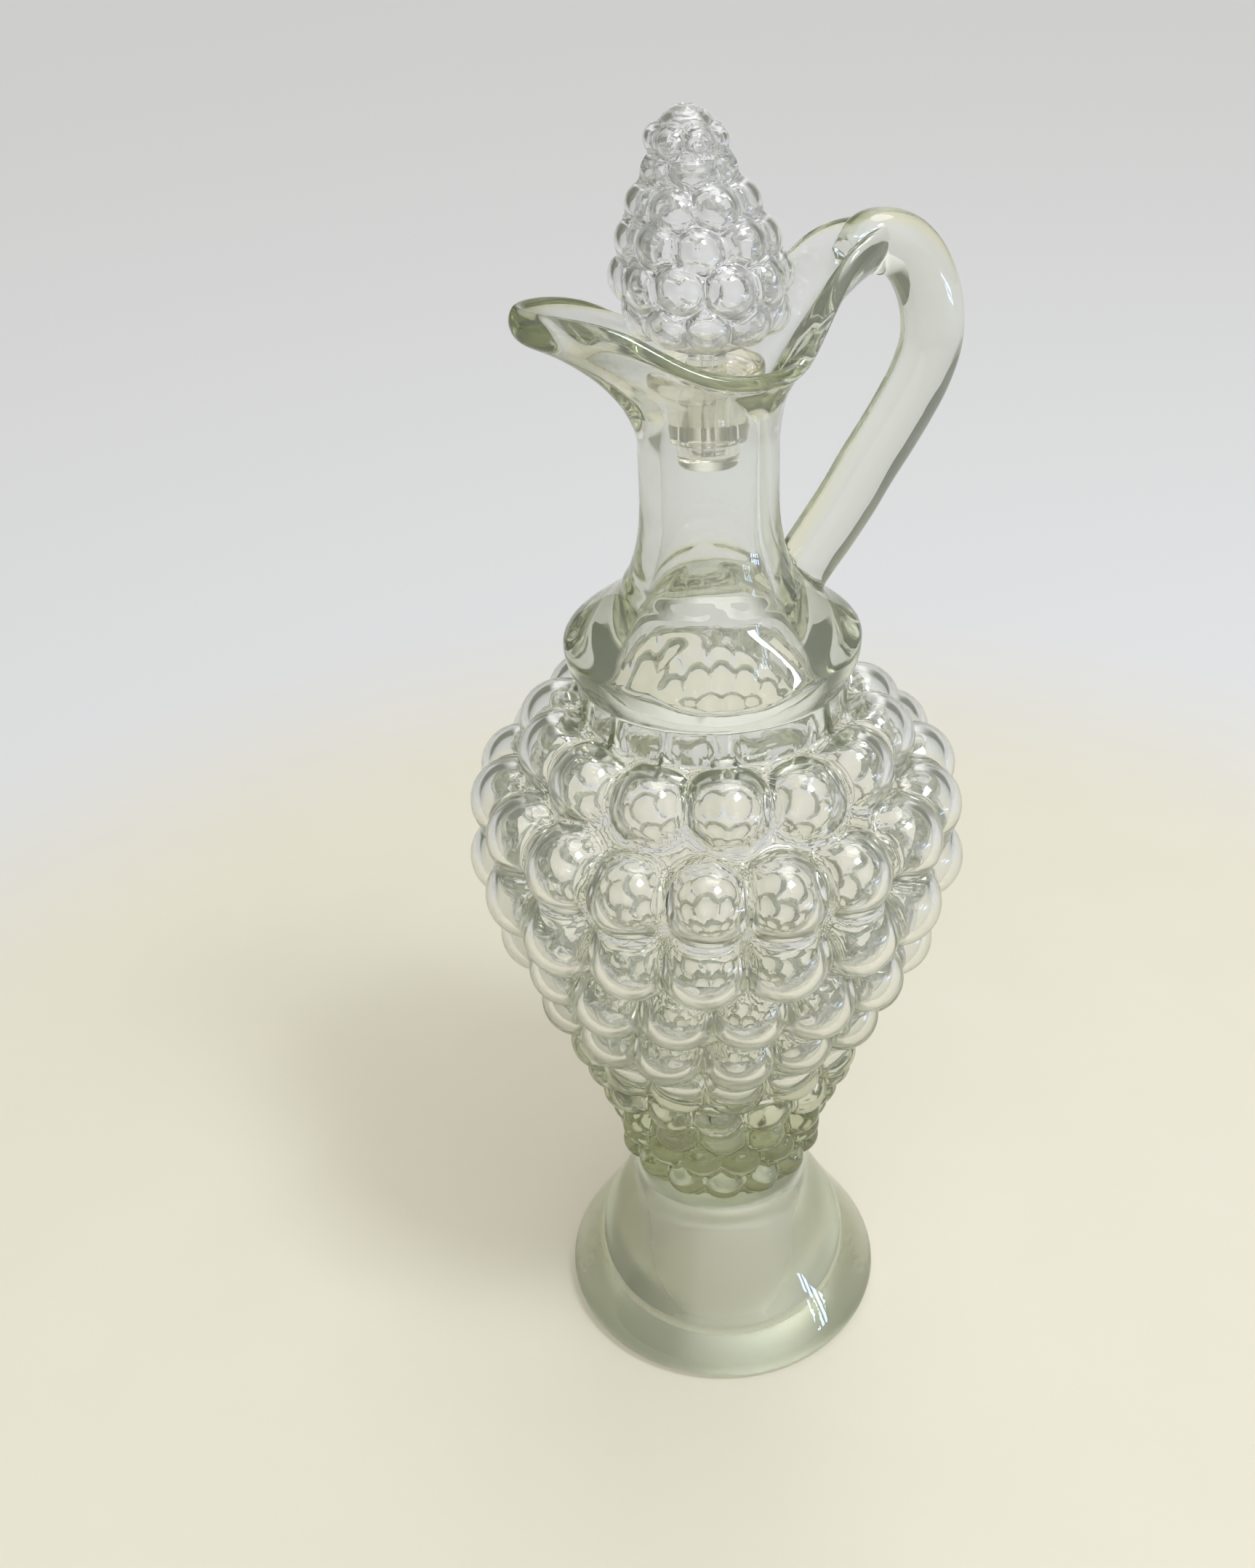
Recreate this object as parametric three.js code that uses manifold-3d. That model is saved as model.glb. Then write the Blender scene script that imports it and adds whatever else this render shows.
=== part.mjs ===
// A pressed-glass cruet with a grape-cluster bowl, a stopper like a small bunch of grapes,
// and the clear plastic sleeve that the stopper's peg sits in.
// Millimetres, +Z up. The origin is on the table, under the middle of the foot.
// The handle lies toward +X and the spout toward -X.
import * as THREE from 'three';
import { mergeVertices } from 'three/addons/utils/BufferGeometryUtils.js';
import Module from 'manifold-3d';

const wasm = await Module();
wasm.setup();

// Foot: a thick bell with a hollow underneath, on a wide resting ring.
const footRadius = 33;
const footRimHeight = 5;
const footRestWidth = 13.8;
const footHeight = 34;
const footCrown = 6.3;
const waistRadius = 17.4;

// Bowl: the smooth body that the grapes stand on, measured between the grapes.
const bowlHeight = 109.5;
const bellyRadius = 39.4;
const bellyHeight = 84;
const bowlWall = 4.2;
const bowlFloor = 10;

// Collar, shoulder ring and neck. The collar node ends at the neck joint.
const collarRadius = 23.8;
const collarHeight = 7;
const ringRadius = 25.7;
const ringRise = 5.8;
const ringTopRadius = 15.2;
const ringTopHeight = 10.6;
const neckRadius = 11.5;
const flareDrop = 1.3;
const flareHeight = 31;
const neckLength = 6;
const boreRadius = 7.9;
const facetTurn = THREE.MathUtils.degToRad(-14);
const facetEase = 0.15;
const weldLift = 2;
const neckJoint = 3;

// Mouth: a round rim drawn out to a spout on one side and up to the handle on the other.
const mouthRadius = 12.2;
const mouthHeight = 13.6;
const spoutReach = 29.4;
const spoutRise = 11;
const rootReach = 29.4;
const rootRise = 16.8;
const troughReach = 25.2;
const lipThickness = 3.2;
const lipDepth = 3;
const spoutLipDepth = 5.4;
const rootLipDepth = 5.8;

// Handle: one drawn rod from the back of the mouth down to the shoulder ring.
const handleThickness = 10;
const handleWidth = 9.6;
const handleReach = 39.1;
const handleJoint = 26;

// Stopper and its sleeve.
const headRadius = 11;
const headHeight = 35.9;
const headGap = 2;
const pegRadius = 2.65;
const pegLength = 14;
const sleeveLength = 13.2;
const sleeveRadius = 7.6;
const sleeveTipRadius = 5;
const sleeveTipLength = 4.6;
const flangeRadius = 9.2;
const flangeThickness = 2.8;
const fitGap = 0.3;

// Heights above the table that follow from the sizes above.
const bowlTop = footHeight + bowlHeight;
const ringBottom = bowlTop + collarHeight;
const ringMiddle = ringBottom + ringRise;
const flareTop = ringMiddle - flareDrop + flareHeight;
const crownTop = ringMiddle + ringTopHeight;
const neckTop = flareTop + neckLength;
const boreTop = neckTop + 5;
const flangeBottom = boreTop + 4.4;
const flangeTop = flangeBottom + flangeThickness;
const headBottom = flangeTop + headGap;

const turn = 2 * Math.PI;

// The tiers of grapes, from the foot up: how far along the body's outline a tier is, how many
// grapes it has, and by what share of their spacing it is turned from the first.
const bowlTiers = [
  { along: 0.072, count: 15, shift: 0.88 }, { along: 0.132, count: 15, shift: 0.38 },
  { along: 0.201, count: 15, shift: 0.88 }, { along: 0.276, count: 16, shift: 0.8 },
  { along: 0.365, count: 16, shift: 0.13 }, { along: 0.464, count: 16, shift: 0.09 },
  { along: 0.584, count: 18, shift: 0.22 }, { along: 0.703, count: 18, shift: 0.7 },
  { along: 0.816, count: 18, shift: 0.7 }, { along: 0.94, count: 14, shift: 0.02 },
];
const headTiers = [
  { along: 0.231, count: 10, shift: 0 }, { along: 0.366, count: 10, shift: 0.5 },
  { along: 0.5, count: 9, shift: 0 }, { along: 0.625, count: 7, shift: 0.5 },
  { along: 0.756, count: 5, shift: 0 },
];
const firstGrape = THREE.MathUtils.degToRad(-107);
const grapeSpread = 1.2;
const grapeSink = 0.2;

// A closed body through rings of equal length, each four-sided patch cut along its shorter
// diagonal. A looped one joins its last ring to its first, and any other is closed by a fan
// at each end.
function skin(rings, looped = false) {
  const n = rings[0].length;
  const points = rings.flat();
  const index = [];
  const apart = (a, b) => points[a].distanceToSquared(points[b]);
  const last = looped ? rings.length : rings.length - 1;
  for (let i = 0; i < last; i += 1) {
    const low = i * n;
    const high = ((i + 1) % rings.length) * n;
    for (let k = 0; k < n; k += 1) {
      const next = (k + 1) % n;
      const [a, b, c, d] = [low + k, low + next, high + next, high + k];
      const cut = apart(a, c) < apart(b, d) ? [a, b, c, a, c, d] : [a, b, d, b, c, d];
      index.push(...cut);
    }
  }
  if (!looped) {
    for (const [start, flip] of [[0, true], [(rings.length - 1) * n, false]]) {
      const middle = new THREE.Vector3();
      for (let k = 0; k < n; k += 1) {
        middle.addScaledVector(points[start + k], 1 / n);
      }
      points.push(middle);
      for (let k = 0; k < n; k += 1) {
        const next = (k + 1) % n;
        const pair = flip ? [start + next, start + k] : [start + k, start + next];
        index.push(...pair, points.length - 1);
      }
    }
  }
  const geometry = new THREE.BufferGeometry().setFromPoints(points);
  geometry.setIndex(index);
  return geometry;
}

// A ring of points at a radius and a height, each of them fixed or worked out from the angle.
function ringAt(angles, radius, height) {
  return angles.map((angle) => {
    const r = typeof radius === 'function' ? radius(angle) : radius;
    const z = typeof height === 'function' ? height(angle) : height;
    return new THREE.Vector3(r * Math.cos(angle), r * Math.sin(angle), z);
  });
}

function evenAngles(count) {
  return Array.from({ length: count }, (_, k) => (turn * k) / count);
}

// A turned body from its outline, given as radius and height pairs from the axis round to it.
function turned(outline, segments) {
  const points = outline.map(([r, z]) => new THREE.Vector2(r, z));
  return new THREE.LatheGeometry(points, segments).rotateX(Math.PI / 2);
}

function toSolid(geometry) {
  const bare = geometry.clone();
  bare.deleteAttribute('normal');
  bare.deleteAttribute('uv');
  const merged = mergeVertices(bare, 1e-4);
  return new wasm.Manifold(new wasm.Mesh({
    numProp: 3,
    vertProperties: new Float32Array(merged.attributes.position.array),
    triVerts: new Uint32Array(merged.index.array),
  }));
}

function toGeometry(solid) {
  const mesh = solid.getMesh();
  const geometry = new THREE.BufferGeometry();
  geometry.setAttribute('position', new THREE.BufferAttribute(new Float32Array(mesh.vertProperties), 3));
  geometry.setIndex(new THREE.BufferAttribute(new Uint32Array(mesh.triVerts), 1));
  geometry.computeVertexNormals();
  return geometry;
}

// A box between two corners, as a solid to cut with.
function block(low, high) {
  const size = high.map((value, axis) => value - low[axis]);
  const box = new THREE.BoxGeometry(...size);
  box.translate(...low.map((value, axis) => value + size[axis] / 2));
  return toSolid(box);
}

// A smooth outline through control points, sampled at shares of its length, each sample with
// its outward normal.
function outlineSamples(points, shares) {
  const curve = new THREE.SplineCurve(points.map(([r, z]) => new THREE.Vector2(r, z)));
  curve.arcLengthDivisions = 400;
  return shares.map((share) => {
    const at = curve.getPointAt(share);
    const along = curve.getTangentAt(share);
    return { r: at.x, z: at.y, nr: along.y, nz: -along.x };
  });
}

const evenShares = (count) => Array.from({ length: count + 1 }, (_, i) => i / count);

// Shares that pass through the middle of every tier, with the same number of steps between. The
// stretch after the last tier may have more.
function tierShares(tiers, steps, lastSteps) {
  const stops = [0, ...tiers.map(({ along }) => along), 1];
  const shares = stops.slice(1).flatMap((stop, i) => {
    const count = i === tiers.length ? lastSteps : steps;
    return Array.from({ length: count }, (_, k) => THREE.MathUtils.lerp(stops[i], stop, k / count));
  });
  return [...shares, 1];
}

// The grapes of a bunch: one sphere for each, its middle on the smooth body. Its size follows
// the room that its tier has.
function plantGrapes(outline, tiers) {
  return tiers.flatMap(({ along, count, shift }) => {
    const [{ r, z }] = outlineSamples(outline, [along]);
    const radius = (grapeSpread * Math.PI * r) / count;
    return evenAngles(count).map((angle) => {
      const around = angle + firstGrape + (turn * shift) / count;
      return { at: new THREE.Vector3(r * Math.cos(around), r * Math.sin(around), z), radius };
    });
  });
}

// How far the nearest grape stands out of the smooth body at a point on it.
function grapeRise(point, grapes) {
  let rise = 0;
  for (const { at, radius } of grapes) {
    const away = point.distanceToSquared(at);
    if (away < radius * radius) {
      rise = Math.max(rise, Math.sqrt(radius * radius - away) - grapeSink * radius);
    }
  }
  return rise;
}

// A body of revolution with its grapes pushed out along the normals, as rings for skin().
function grapeRings(outline, tiers, columns, steps, lastSteps) {
  const grapes = plantGrapes(outline, tiers);
  const angles = evenAngles(columns).map((angle) => angle + firstGrape);
  const shares = tierShares(tiers, steps, lastSteps);
  return outlineSamples(outline, shares).map(({ r, z, nr, nz }, row) => {
    const edge = row === 0 || row === shares.length - 1;
    return ringAt(angles, r, z).map((point, k) => {
      const rise = edge ? 0 : grapeRise(point, grapes);
      const out = new THREE.Vector3(nr * Math.cos(angles[k]), nr * Math.sin(angles[k]), nz);
      return point.addScaledVector(out, rise);
    });
  });
}

function makeFoot() {
  const rest = footRadius - 1.2;
  const spread = footRadius - waistRadius;
  const rise = footHeight - footRimHeight;
  const inner = rest - footRestWidth;
  const hollowTop = footHeight - footCrown;
  const bell = [0.86, 0.74, 0.6, 0.46, 0.32, 0.18, 0.06];
  const outer = bell.map((share, i) => [
    waistRadius + spread * share * 0.97,
    footRimHeight + rise * (((i + 0.55) / bell.length) ** 1.08),
  ]);
  return turned([
    [0, hollowTop],
    [inner * 0.4, hollowTop - 0.8],
    [inner * 0.66, hollowTop * 0.86],
    [inner * 0.8, hollowTop * 0.66],
    [inner * 0.89, hollowTop * 0.44],
    [inner * 0.96, hollowTop * 0.22],
    [inner, 0],
    [rest, 0],
    [footRadius - 0.3, footRimHeight * 0.2],
    [footRadius, footRimHeight * 0.5],
    [footRadius - 0.5, footRimHeight * 0.85],
    [footRadius - 1.8, footRimHeight * 1.25],
    ...outer.slice(1),
    [waistRadius, footHeight],
    [0, footHeight],
  ], 36);
}

// The smooth body's outline, from the waist over the belly up to the collar.
function bowlOutline() {
  const belly = footHeight + bellyHeight;
  const lower = bellyHeight;
  const upper = bowlHeight - bellyHeight;
  const swell = bellyRadius - waistRadius;
  const draw = bellyRadius - collarRadius;
  return [
    [waistRadius, footHeight],
    [waistRadius + swell * 0.005, footHeight + lower * 0.095],
    [waistRadius + swell * 0.05, footHeight + lower * 0.185],
    [waistRadius + swell * 0.168, footHeight + lower * 0.304],
    [waistRadius + swell * 0.305, footHeight + lower * 0.405],
    [waistRadius + swell * 0.459, footHeight + lower * 0.524],
    [waistRadius + swell * 0.627, footHeight + lower * 0.643],
    [waistRadius + swell * 0.786, footHeight + lower * 0.75],
    [waistRadius + swell * 0.909, footHeight + lower * 0.851],
    [waistRadius + swell * 0.973, footHeight + lower * 0.935],
    [bellyRadius, belly],
    [bellyRadius - draw * 0.019, belly + upper * 0.255],
    [bellyRadius - draw * 0.205, belly + upper * 0.482],
    [bellyRadius - draw * 0.5, belly + upper * 0.69],
    [bellyRadius - draw * 0.75, belly + upper * 0.863],
    [collarRadius, bowlTop],
  ];
}

// The smooth inside of the bowl, one wall in from the body, with a rounded floor.
function bowlInside() {
  const floor = footHeight + bowlFloor;
  const samples = outlineSamples(bowlOutline(), evenShares(40));
  const wall = samples
    .map(({ r, z, nr, nz }) => [r - nr * bowlWall, z - nz * bowlWall])
    .filter(([r, z]) => z > floor + 9 && z < bowlTop - 3)
    .filter((_, i) => i % 3 === 0);
  const throat = collarRadius - bowlWall + 0.4;
  const [sideRadius] = wall[0];
  return turned([
    [0, floor],
    [sideRadius * 0.45, floor + 0.9],
    [sideRadius * 0.8, floor + 4],
    ...wall,
    [throat, bowlTop - 1.5],
    [throat, bowlTop + 5],
    [0, bowlTop + 5],
  ], 32);
}

function makeBowl() {
  const body = toSolid(skin(grapeRings(bowlOutline(), bowlTiers, 76, 4, 4)));
  return toGeometry(body.subtract(toSolid(bowlInside())));
}

// The neck's trumpet: narrow at the top and as wide as the ring near the ring's middle.
function flareRadius(z) {
  const share = THREE.MathUtils.clamp((flareTop - z) / flareHeight, 0, 1);
  return neckRadius + (ringRadius - neckRadius) * share ** 3;
}

// The collar and the bulging ring above it, as if neither were cut.
function shoulderRadius(z) {
  if (z < ringBottom) {
    return THREE.MathUtils.mapLinear(z, bowlTop, ringBottom, collarRadius - 0.4, collarRadius);
  }
  if (z < ringMiddle) {
    return ringRadius - (ringRadius - collarRadius) * ((ringMiddle - z) / ringRise) ** 2;
  }
  const share = THREE.MathUtils.smoothstep(z, ringMiddle, crownTop);
  return THREE.MathUtils.lerp(ringRadius, ringTopRadius, share);
}

// The trumpet runs down into the ring, pressed flat at the front and the back. The ring's top
// is lifted a little where the handle is welded on.
function neckSurface(z, angle) {
  const flare = flareRadius(z);
  const ease = facetEase * THREE.MathUtils.clamp((crownTop + 2 - z) / 10, 0, 1);
  const facing = Math.abs(Math.sin(angle - facetTurn));
  const trumpet = flare * Math.min(1 / Math.max(facing, 0.1), 1 + ease);
  const lift = z > ringMiddle ? weldLift * peak(angle, 0, 28) : 0;
  return Math.min(trumpet, shoulderRadius(Math.max(z - lift, Math.min(z, ringMiddle))));
}

function away(angle, from) {
  const difference = THREE.MathUtils.euclideanModulo(angle - from + Math.PI, turn) - Math.PI;
  return THREE.MathUtils.radToDeg(Math.abs(difference));
}

// How much of the spout or of the handle's root an angle has: 1 at its middle, fading away.
// The first fades slowly at its foot, and the second stays full for longer at its middle.
const lobe = (angle, middle, spread) => 1 / (1 + (away(angle, middle) / spread) ** 2);
const peak = (angle, middle, spread, flat = 2) => Math.exp(-((away(angle, middle) / spread) ** flat));

function rimReach(angle) {
  return mouthRadius
    + (spoutReach - mouthRadius) * lobe(angle, Math.PI, 23)
    + (rootReach - mouthRadius) * lobe(angle, 0, 23.5);
}

function rimHeight(angle) {
  return neckTop + mouthHeight
    + spoutRise * peak(angle, Math.PI, 51)
    + rootRise * peak(angle, 0, 36.5, 3.2);
}

function rimDepth(angle) {
  return lipDepth
    + (spoutLipDepth - lipDepth) * peak(angle, Math.PI, 40)
    + (rootLipDepth - lipDepth) * peak(angle, 0, 26);
}

// A quadratic curve between two radius and height pairs, at a share of the way.
function bend(from, through, to, share) {
  const rest = 1 - share;
  return from.map((value, i) => rest * rest * value
    + 2 * rest * share * through[i] + share * share * to[i]);
}

// The outside and the inside of the mouth, from the neck or the bore to the lip.
function mouthOutside(angle, share) {
  const edge = [rimReach(angle) + 0.1, rimHeight(angle) - rimDepth(angle)];
  const through = [
    neckRadius + 0.12 * (edge[0] - neckRadius),
    neckTop + 0.58 * (edge[1] - neckTop),
  ];
  return bend([neckRadius, neckTop], through, edge, share);
}

// Toward the handle the inside stops short of the rim, as the rounded end of a trough.
function mouthInside(angle, share) {
  const reach = rimReach(angle) - lipThickness * 0.6;
  const edge = [
    reach - Math.max(0, rootReach - 2 - troughReach) * peak(angle, 0, 12),
    rimHeight(angle) - 1.5,
  ];
  const through = [
    boreRadius + 0.2 + 0.07 * (edge[0] - boreRadius),
    boreTop + 2.5 + 0.12 * (edge[1] - boreTop),
  ];
  return bend([boreRadius, boreTop], through, edge, share);
}

// More angles near the spout and the handle, where the rim bends most.
function mouthAngles(count) {
  return evenAngles(count).map((angle) => angle - 0.28 * Math.sin(2 * angle));
}

function makeNeckWall() {
  const angles = mouthAngles(48);
  const ring = (curve, share) => ringAt(angles, (a) => curve(a, share)[0], (a) => curve(a, share)[1]);
  const rows = [
    bowlTop, ringBottom, ringBottom + 2.5, ringMiddle - 1, ringMiddle + 0.6, ringMiddle + 2,
    ringMiddle + 3.4, ringMiddle + 4.8, ringMiddle + 6.4, ringMiddle + 8.2, crownTop,
    crownTop + neckJoint, crownTop + 7, crownTop + 12, flareTop,
  ];
  const outside = rows.map((z) => ringAt(angles, (a) => neckSurface(z, a), z));
  const flare = [0, 0.22, 0.44, 0.64, 0.82, 1].map((share) => ring(mouthOutside, share));
  const lip = [[0.44, 0.6], [0.42, 0.24], [0.04, 0]].map(([out, down]) => ringAt(
    angles,
    (a) => rimReach(a) + out * lipThickness,
    (a) => rimHeight(a) - down * rimDepth(a),
  ));
  const funnel = [1, 0.78, 0.56, 0.34, 0].map((share) => ring(mouthInside, share));
  const throat = collarRadius - bowlWall + 0.4;
  const bore = [
    [boreRadius, flareTop - 8],
    [boreRadius + 0.6, flareTop - 13],
    [boreRadius + 2, flareTop - 18.5],
    [boreRadius + 4.4, flareTop - 24],
    [boreRadius + 7.4, flareTop - 29],
    [throat - 1, ringBottom],
    [throat, bowlTop],
  ].map(([r, z]) => ringAt(angles, r, z));
  return skin([...outside, ...flare, ...lip, ...funnel, ...bore], true);
}

// The middle of the rod, from the back of the mouth over the top and down to the ring.
function handlePath() {
  const top = neckTop + mouthHeight + rootRise - 3.3;
  const drop = top - crownTop;
  const weldRadius = ringTopRadius + 2.2;
  const swing = handleReach - weldRadius;
  const places = [
    [handleJoint - 0.6, top - 1.3],
    [handleJoint + 2.4, top],
    [handleReach - 6.4, top - drop * 0.02],
    [handleReach - 2.9, top - drop * 0.09],
    [handleReach - 0.5, top - drop * 0.2],
    [handleReach, top - drop * 0.32],
    [handleReach - swing * 0.08, top - drop * 0.43],
    [handleReach - swing * 0.2, top - drop * 0.52],
    [handleReach - swing * 0.34, top - drop * 0.61],
    [handleReach - swing * 0.5, top - drop * 0.705],
    [handleReach - swing * 0.68, top - drop * 0.82],
    [weldRadius, crownTop],
    [weldRadius - 4, crownTop - 5.4],
  ];
  return new THREE.CatmullRomCurve3(places.map(([x, z]) => new THREE.Vector3(x, 0, z)));
}

// The rod has a rounded, slightly flattened section all the way.
function makeRod() {
  const path = handlePath();
  const sides = 14;
  const steps = 26;
  const section = evenAngles(sides).map((angle) => {
    const across = Math.sign(Math.cos(angle)) * Math.abs(Math.cos(angle)) ** 0.86;
    const deep = Math.sign(Math.sin(angle)) * Math.abs(Math.sin(angle)) ** 0.86;
    return [(across * handleWidth) / 2, (deep * handleThickness) / 2];
  });
  return skin(Array.from({ length: steps + 1 }, (_, i) => {
    const at = path.getPointAt(i / steps);
    const along = path.getTangentAt(i / steps);
    const outward = new THREE.Vector3(-along.z, 0, along.x);
    return section.map(([side, out]) => at.clone().setY(side).addScaledVector(outward, out));
  }));
}

// The part of space on the mouth's side of the joint between the handle and its root.
function rootSide() {
  return block([0, -40, neckTop + 5], [handleJoint, 40, neckTop + 60]);
}

// The ring and the neck grown by the fit gap, to keep the handle's foot off them.
function weldClearance() {
  const angles = mouthAngles(48);
  const rows = Array.from({ length: 18 }, (_, i) => THREE.MathUtils.lerp(ringBottom, flareTop, i / 17));
  return toSolid(skin(rows.map((z) => ringAt(angles, (a) => neckSurface(z, a) + 1.2 * fitGap, z))));
}

// The wall is parted level at the neck joint: the collar with its ring below, the neck with
// the mouth and the handle's root above.
function makeNeckParts() {
  const rod = toSolid(makeRod());
  const side = rootSide();
  const root = rod.intersect(side);
  const beyond = block([handleJoint, -40, neckTop + 5], [80, 40, neckTop + 60]);
  const wall = toSolid(makeNeckWall()).subtract(beyond).add(root);
  const [neck, collar] = wall.splitByPlane([0, 0, 1], crownTop + neckJoint);
  const handle = rod.subtract(side).subtract(weldClearance());
  return [collar, neck, handle].map(toGeometry);
}

// The stopper's smooth head under its grapes.
function headOutline() {
  const rows = [
    [0.3, 0], [0.66, 0.04], [0.88, 0.12], [0.985, 0.24], [1, 0.35], [0.87, 0.48], [0.68, 0.61],
    [0.5, 0.72], [0.36, 0.785], [0.39, 0.825], [0.415, 0.872], [0.375, 0.925], [0.28, 0.966],
    [0.1, 0.996],
  ];
  return rows.map(([r, z]) => [r * headRadius, headBottom + z * headHeight]);
}

function makeStopper() {
  const head = toSolid(skin(grapeRings(headOutline(), headTiers, 36, 4, 9)));
  const pegBottom = flangeTop - pegLength;
  const peg = turned([
    [0, pegBottom],
    [pegRadius - 0.5, pegBottom],
    [pegRadius, pegBottom + 0.8],
    [pegRadius + 0.2, headBottom - 0.6],
    [pegRadius + 1.4, headBottom + 1],
    [0, headBottom + 3],
  ], 20);
  return toGeometry(head.add(toSolid(peg)));
}

// The sleeve: a flange that rests in the mouth, a tapered plug and a closed tip, bored for the peg.
function makeSleeve() {
  const bottom = flangeBottom - sleeveLength;
  const hole = pegRadius + 0.2 + fitGap;
  const step = bottom + sleeveTipLength;
  const pegEnd = flangeTop - pegLength - fitGap;
  const taper = (share) => THREE.MathUtils.lerp(sleeveTipRadius + 1.2, sleeveRadius, share);
  return turned([
    [0, bottom],
    [sleeveTipRadius - 0.6, bottom],
    [sleeveTipRadius, bottom + 0.6],
    [sleeveTipRadius, step],
    [taper(0), step + 0.3],
    [taper(0.5), THREE.MathUtils.lerp(step, flangeBottom, 0.5)],
    [taper(0.86), flangeBottom - 1.6],
    [taper(1), flangeBottom - 0.8],
    [flangeRadius, flangeBottom + 0.4],
    [flangeRadius, flangeTop - 0.5],
    [flangeRadius - 0.5, flangeTop],
    [hole, flangeTop],
    [hole, pegEnd],
    [0, pegEnd],
  ], 28);
}

function material(colour, roughness) {
  return new THREE.MeshStandardMaterial({ color: colour, roughness, transparent: true, opacity: 0.4 });
}

function addPiece(group, name, geometry, finish) {
  const mesh = new THREE.Mesh(geometry, finish);
  mesh.name = name;
  group.add(mesh);
}

const cruet = new THREE.Group();
const [collar, neck, handle] = makeNeckParts();
addPiece(cruet, 'foot', makeFoot(), material('#dfe6dc', 0.04));
addPiece(cruet, 'grape_bowl', makeBowl(), material('#dfe6dc', 0.04));
addPiece(cruet, 'collar', collar, material('#dfe6dc', 0.04));
addPiece(cruet, 'neck', neck, material('#dfe6dc', 0.04));
addPiece(cruet, 'handle', handle, material('#dfe6dc', 0.04));
addPiece(cruet, 'stopper', makeStopper(), material('#eef0ee', 0.03));
addPiece(cruet, 'stopper_sleeve', makeSleeve(), material('#e8e6d6', 0.25));

export default cruet;
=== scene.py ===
# %% [markdown]
# # A cruet of moulded glass, its stopper and its plastic sleeve
# A cruet is a small table bottle for oil or vinegar. This one was shaped in an iron mould: a bell
# foot, a bowl covered in glass grapes, a ring under the neck, and a mouth that the glassmaker drew
# out to a spout on one side and up into a loop handle on the other. The stopper comes from a mould
# of its own, and its peg sits in a soft plastic sleeve.
#
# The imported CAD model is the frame. Its bodies say what moves, and its box says how large the object
# is, so the first cell loads it and keeps that box.

# %% Load the frame
import math

import bpy
import numpy as np
from mathutils import Matrix, Vector


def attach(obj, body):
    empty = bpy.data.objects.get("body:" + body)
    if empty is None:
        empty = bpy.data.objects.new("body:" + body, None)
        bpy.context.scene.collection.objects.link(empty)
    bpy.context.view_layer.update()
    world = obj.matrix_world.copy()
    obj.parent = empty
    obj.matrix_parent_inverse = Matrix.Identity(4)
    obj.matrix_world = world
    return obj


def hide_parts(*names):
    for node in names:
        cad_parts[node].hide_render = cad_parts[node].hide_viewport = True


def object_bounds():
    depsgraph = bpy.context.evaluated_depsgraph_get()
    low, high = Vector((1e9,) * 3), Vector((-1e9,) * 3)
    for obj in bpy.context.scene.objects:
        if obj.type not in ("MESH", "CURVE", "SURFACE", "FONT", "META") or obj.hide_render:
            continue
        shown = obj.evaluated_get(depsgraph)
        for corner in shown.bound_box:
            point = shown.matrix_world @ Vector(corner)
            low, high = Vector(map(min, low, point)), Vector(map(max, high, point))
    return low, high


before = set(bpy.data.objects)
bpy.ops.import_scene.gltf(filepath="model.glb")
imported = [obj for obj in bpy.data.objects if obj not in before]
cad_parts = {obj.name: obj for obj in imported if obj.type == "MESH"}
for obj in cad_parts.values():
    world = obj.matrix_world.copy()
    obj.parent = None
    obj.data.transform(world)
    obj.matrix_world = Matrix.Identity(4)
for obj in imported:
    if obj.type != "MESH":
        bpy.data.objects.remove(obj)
cad_box = [list(corner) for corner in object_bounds()]
print("CAD box in mm:", [[round(1000 * v, 1) for v in corner] for corner in cad_box])

# %% [markdown]
# ## The camera
# The photograph looks down on the cruet from the front, a little from the spout's side. Where the
# camera stood was worked out from the round foot, collar and neck, which the picture shows as
# ellipses. A camera in Blender looks along its own -Z, so its matrix is built from three directions:
# right, up and back.

# %% Place the camera
IMAGE_SIZE = (1726, 2156)
FOCAL_PIXELS = 2200
CAMERA_AT = (-0.08720, -0.23113, 0.28277)
HEADING, PITCH, ROLL = math.radians(-17), 0.5642, 0.0516


def make_camera():
    """A camera that looks along its heading, pitched down, then rolled about its own line of sight."""
    right = Vector((math.cos(HEADING), math.sin(HEADING), 0))
    level = Vector((-math.sin(HEADING), math.cos(HEADING), 0))
    forward = level * math.cos(PITCH) - Vector((0, 0, 1)) * math.sin(PITCH)
    up = level * math.sin(PITCH) + Vector((0, 0, 1)) * math.cos(PITCH)
    turned_right = right * math.cos(ROLL) - up * math.sin(ROLL)
    turned_up = right * math.sin(ROLL) + up * math.cos(ROLL)
    lens = bpy.data.cameras.new("camera")
    lens.sensor_width = 36
    lens.lens = FOCAL_PIXELS / max(IMAGE_SIZE) * lens.sensor_width
    lens.clip_start, lens.clip_end = 0.01, 20
    camera = bpy.data.objects.new("camera", lens)
    bpy.context.collection.objects.link(camera)
    axes = Matrix((turned_right, turned_up, -forward)).transposed().to_4x4()
    camera.matrix_world = Matrix.Translation(CAMERA_AT) @ axes
    bpy.context.scene.camera = camera
    return camera


camera = make_camera()
bpy.context.scene.view_settings.view_transform = "Standard"
print("camera lens:", round(camera.data.lens, 2), "mm")

# %% [markdown]
# ## Rings of points
# Everything on this cruet is round about its axis or along a rod, so every shape here is a stack of
# rings: an array of rows by columns by three. Three helpers do most of the work. One draws a smooth
# line through a few rows, one turns a line about the axis into rings, and one closes a stack of rings
# into a skin with a point at each end.

# %% Helpers for rings
MM = 0.001
COLUMNS = 224


def even_angles(count):
    """So many angles, evenly spaced round the axis."""
    return np.arange(count) * 2 * np.pi / count


even = even_angles(COLUMNS)


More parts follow.
